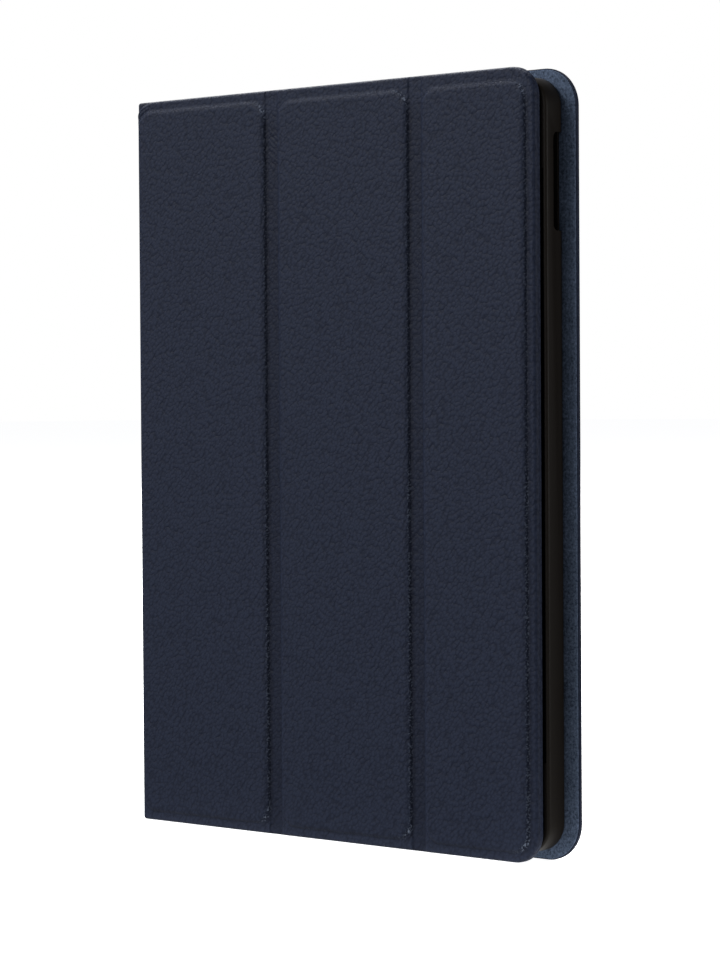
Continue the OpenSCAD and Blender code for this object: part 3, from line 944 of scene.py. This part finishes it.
spine_lining_x = round(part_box("spine_lining")[1].x, 6)
lining = block(
    "spine_microfibre",
    (spine_lining_x - lining_t, spine_ends[0], lining_low),
    (spine_lining_x, spine_ends[1], lining_high),
)
edge_softened(lining, lambda a, b: a.x > spine_lining_x - close and b.y - a.y > close)
edit(lining)
cut_at(spread(spine_ends[0], spine_ends[0] + lining_ramp, lining_fine), (0, 1, 0))
cut_at(spread(spine_ends[1] - lining_ramp, spine_ends[1], lining_fine), (0, 1, 0))
cut_at(spread(lining_low, lining_high, lining_coarse), (0, 0, 1))
done()
co = places(lining)
away = np.minimum(co[:, 1] - spine_ends[0], spine_ends[1] - co[:, 1])
co[:, 0] -= dropped(away, spine_back_x - spine_x - skin_t)
put(lining, co)
finish_lining(lining, "spine_lining")
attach(lining, "spine")
lining_strips["spine"] = lining

for side, way, bodies in turns:
    lining = strip(
        f"spine_{side}_turn_microfibre", 0, turn_run, skin_t, fold_t,
        lining_low, lining_high, 0, turn_stops,
    )
    turned_corner(lining, way)
    finish_lining(lining, f"spine_{side}_turn_lining")
    lining_strips[f"{side}_turn"] = lining
    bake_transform(lining)

back_lining_y = round(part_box("back_lining")[0].y, 6)
end = back_right - lining_in
lining = block(
    "back_microfibre",
    (back_left, back_lining_y, lining_low), (end, back_lining_y + lining_t, lining_high),
)
edit(lining)
pick(lining, "EDGE", lambda a, b: a.x > end - close and b.z - a.z < close)
bpy.ops.mesh.bevel(offset=back_r - lining_in, segments=20, affect="EDGES")
done()
windowed(lining, window_r)
edge_softened(lining, lambda a, b: b.y < back_lining_y + close
              and (b.x - a.x > close or a.x > back_left + close))
edit(lining)
cut_at(spread(back_left, back_left + lining_ramp, lining_fine), (1, 0, 0))
done()
co = places(lining)
co[:, 1] += dropped(co[:, 0] - back_left, back_y - back_front_y - skin_t)
put(lining, co)
finish_lining(lining, "back_lining")
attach(lining, "back")
linings[0] = (lining, end - back_left)

# One cut of cloth lines the whole case. For each wide stretch the table gives the board it
# rests on and the narrow stretches beside it, but nothing is done with them.
for n, rests_on, strips in (
    (0, "back_board", ("back_turn",)), (1, "panel_1_board", ("spine", "front_turn", "fold_1")),
    (2, "panel_2_board", ("fold_2",)), (3, "panel_3_board", ()),
):
    lining, width = linings[n]


# ---- Tray ----
# A snap-in shell, injection moulded in one piece from warm black polycarbonate. Lips at
# its corners hold the tablet, and its walls are open at the keys, sockets and speakers.
tray_low = Vector([round(v, 6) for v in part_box("tray")[0]])
tray_high = Vector([round(v, 6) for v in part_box("tray")[1]])
tray_high.x = max(tray_high.x, round(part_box("tray_open_wall")[1].x, 6))
tray_r = 10 * mm
tray_wall = 1.3 * mm
tray_edge_r = 1.2 * mm
tray_rim_r = 0.9 * mm
tray_floor = 0.8 * mm
lip_t, lip_reach, lip_run = 0.45 * mm, 0.9 * mm, 30 * mm
slot_y, slot_r = 0.525 * mm, 3.2 * mm
slot_clear = 0.4 * mm  # the cutters reach this far past the wall
tray_window_r = 5 * mm
arris_r = 0.18 * mm  # every edge that is left sharp is rounded this much

tray = block("snap_in_tray", tray_low, tray_high)
edit(tray)
pick(tray, "EDGE", lambda a, b: b.y - a.y > close)
bpy.ops.mesh.bevel(offset=tray_r, segments=14, affect="EDGES")
pick(tray, "EDGE", lambda a, b: a.y > tray_high.y - close)
bpy.ops.mesh.bevel(offset=tray_edge_r, segments=6, affect="EDGES")
pick(tray, "EDGE", lambda a, b: b.y < tray_low.y + close)
bpy.ops.mesh.bevel(offset=tray_rim_r, segments=4, affect="EDGES")
cut_at((tray_low.x + lip_run, tray_high.x - lip_run), (1, 0, 0))
cut_at((tray_low.z + lip_run, tray_high.z - lip_run), (0, 0, 1))
pick(tray, "FACE", lambda a, b: b.y < tray_low.y + close)
bpy.ops.mesh.inset(thickness=tray_wall - tray_rim_r, use_even_offset=True)
bpy.ops.mesh.extrude_region_move(TRANSFORM_OT_translate={"value": (0, lip_t, 0)})
bpy.ops.mesh.extrude_region_move(
    TRANSFORM_OT_translate={"value": (0, tray_high.y - tray_floor - tray_low.y - lip_t, 0)}
)


def lip_band(a, b):
    """A face of the inner wall's first step, near a corner."""
    at_rim = a.y < tray_low.y + close and abs(b.y - tray_low.y - lip_t) < close
    inner = (
        a.x > tray_low.x + tray_wall - close and b.x < tray_high.x - tray_wall + close
        and a.z > tray_low.z + tray_wall - close and b.z < tray_high.z - tray_wall + close
    )
    at_side = b.x < tray_low.x + lip_run + close or a.x > tray_high.x - lip_run - close
    at_end = b.z < tray_low.z + lip_run + close or a.z > tray_high.z - lip_run - close
    return at_rim and inner and at_side and at_end


pick(tray, "FACE", lip_band)
bpy.ops.mesh.extrude_region_shrink_fatten(
    TRANSFORM_OT_shrink_fatten={"value": lip_reach, "use_even_offset": True}
)
done()


def punched(piece, name, middle, size, axis, r):
    """Cuts a slot with rounded ends through the piece along the axis."""
    middle, half = Vector(middle), Vector(size) / 2
    cutter = block(name, middle - half, middle + half)
    edit(cutter)
    pick(cutter, "EDGE", lambda a, b: (b - a)[axis] > close)
    bpy.ops.mesh.bevel(offset=r, segments=10, affect="EDGES")
    done()
    apply(piece, "BOOLEAN", operation="DIFFERENCE", object=cutter, solver="EXACT")
    bpy.data.objects.remove(cutter)


middle_x = (tray_low.x + tray_high.x) / 2
slot_end_r = slot_r - 0.01 * mm  # just under half, so that the two roundings stay apart
# name, middle across the tray, length, and which wall
for name, x, run, z in (
    ("power", tray_high.x - 26 * mm, 20 * mm, tray_high.z),
    ("headphone", tray_low.x + 16 * mm, 2 * slot_r, tray_high.z),
    ("charging", middle_x, 16 * mm, tray_low.z),
    ("speaker_left", middle_x - 46 * mm, 28 * mm, tray_low.z),
    ("speaker_right", middle_x + 46 * mm, 28 * mm, tray_low.z),
):
    size = (run, 2 * slot_r, 2 * (tray_wall + slot_clear))
    punched(tray, name, (x, slot_y, z), size, 2, slot_end_r)
volume_front = tray_low.y + 3.85 * mm
volume_top = tray_high.z - 18.2 * mm
volume_run, volume_r = 32 * mm, 2 * mm
volume_deep = 12 * mm  # the cutter's, so that the slot is open to the rear
punched(
    tray, "volume",
    (tray_high.x, volume_front + volume_deep / 2, volume_top - volume_run / 2),
    (2 * tray_wall + slot_clear, volume_deep, volume_run), 0, volume_r,
)
windowed(tray, tray_window_r)
merge(tray, 0.005 * mm)
apply(tray, "BEVEL", width=arris_r, segments=3, limit_method="ANGLE", angle_limit=math.radians(40))
smooth(tray, 35)

# Polycarbonate from a spark-eroded mould: nearly black, warm, softly glossy, with a texture
# of about 0.15 mm that is drawn at 0.33 mm so that it shows. Its gloss varies with the flow.
spark_size, flow_size = 0.3333 * mm, 16.67 * mm
plastic, tree = new_material("satin_black_polycarbonate")
spot = add_node(tree, "ShaderNodeTexCoord").outputs["Object"]
spark = add_node(
    tree, "ShaderNodeTexNoise", {"Vector": spot, "Scale": 1 / spark_size, "Detail": 2}
)
flow = add_node(
    tree, "ShaderNodeTexNoise", {"Vector": spot, "Scale": 1 / flow_size, "Detail": 2}
)
satin = add_node(
    tree, "ShaderNodeMapRange", {"Value": flow.outputs["Fac"], "To Min": 0.42, "To Max": 0.52}
)
spark_bump = add_node(
    tree, "ShaderNodeBump",
    {"Strength": 0.15, "Distance": 0.03 * mm, "Height": spark.outputs["Fac"]},
)
plastic_shader = add_node(
    tree, "ShaderNodeBsdfPrincipled",
    {
        "Base Color": linear("#191511"), "Roughness": satin.outputs[0], "IOR": 1.58,
        "Specular IOR Level": 0.1, "Normal": spark_bump.outputs[0],
    },
)
add_node(tree, "ShaderNodeOutputMaterial", {"Surface": plastic_shader.outputs[0]})
tray.data.materials.append(plastic)
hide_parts("tray", "tray_top_wall", "tray_bottom_wall", "tray_open_wall")
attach(tray, "back")


# ---- Hidden pieces ----
# Boards, pad inserts, magnets and tape are closed in by leather, lining and tray. They
# keep the plain shapes that they are cut to, and each gets its material.
def plain_stock(name, light, dark, grain, roughness, metallic=0):
    """A material with a little mottling of this size, for pieces that hardly show."""
    material, tree = new_material(name)
    spot = add_node(tree, "ShaderNodeTexCoord").outputs["Object"]
    mottle = add_node(tree, "ShaderNodeTexNoise", {"Vector": spot, "Scale": 1 / grain, "Detail": 3})
    tone = add_node(
        tree, "ShaderNodeMix",
        {"Factor": mottle.outputs["Fac"], 6: linear(light), 7: linear(dark)}, data_type="RGBA",
    )
    bump = add_node(
        tree, "ShaderNodeBump",
        {"Strength": 0.3, "Distance": 0.05 * mm, "Height": mottle.outputs["Fac"]},
    )
    shader = add_node(
        tree, "ShaderNodeBsdfPrincipled",
        {
            "Base Color": tone.outputs[2], "Roughness": roughness, "Metallic": metallic,
            "Normal": bump.outputs[0],
        },
    )
    add_node(tree, "ShaderNodeOutputMaterial", {"Surface": shader.outputs[0]})
    return material


# Greyboard is dull, flecked pulp. The inserts are pale foam sheet, the magnets are plated
# with nickel and shine dully, and the tape is cream-coloured foam.
greyboard = plain_stock("pressed_greyboard", "#8A857B", "#6F6A61", 0.8 * mm, 0.9)
insert_sheet = plain_stock("pressed_foam_sheet", "#A9A9A4", "#8F8F8A", 0.5 * mm, 0.95)
nickel = plain_stock("nickel_plated_magnet", "#B4B6B8", "#9C9EA2", 2 * mm, 0.35, 1)
foam_tape = plain_stock("double_sided_foam_tape", "#C9C4B4", "#B8B3A3", 0.7 * mm, 0.85)
stocks = {
    "_board": greyboard, "_pad": insert_sheet, "_magnets": nickel, "_tape": foam_tape,
}
for node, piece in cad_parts.items():
    for ending, material in stocks.items():
        if node.endswith(ending):
            piece.data.materials.clear()
            piece.data.materials.append(material)
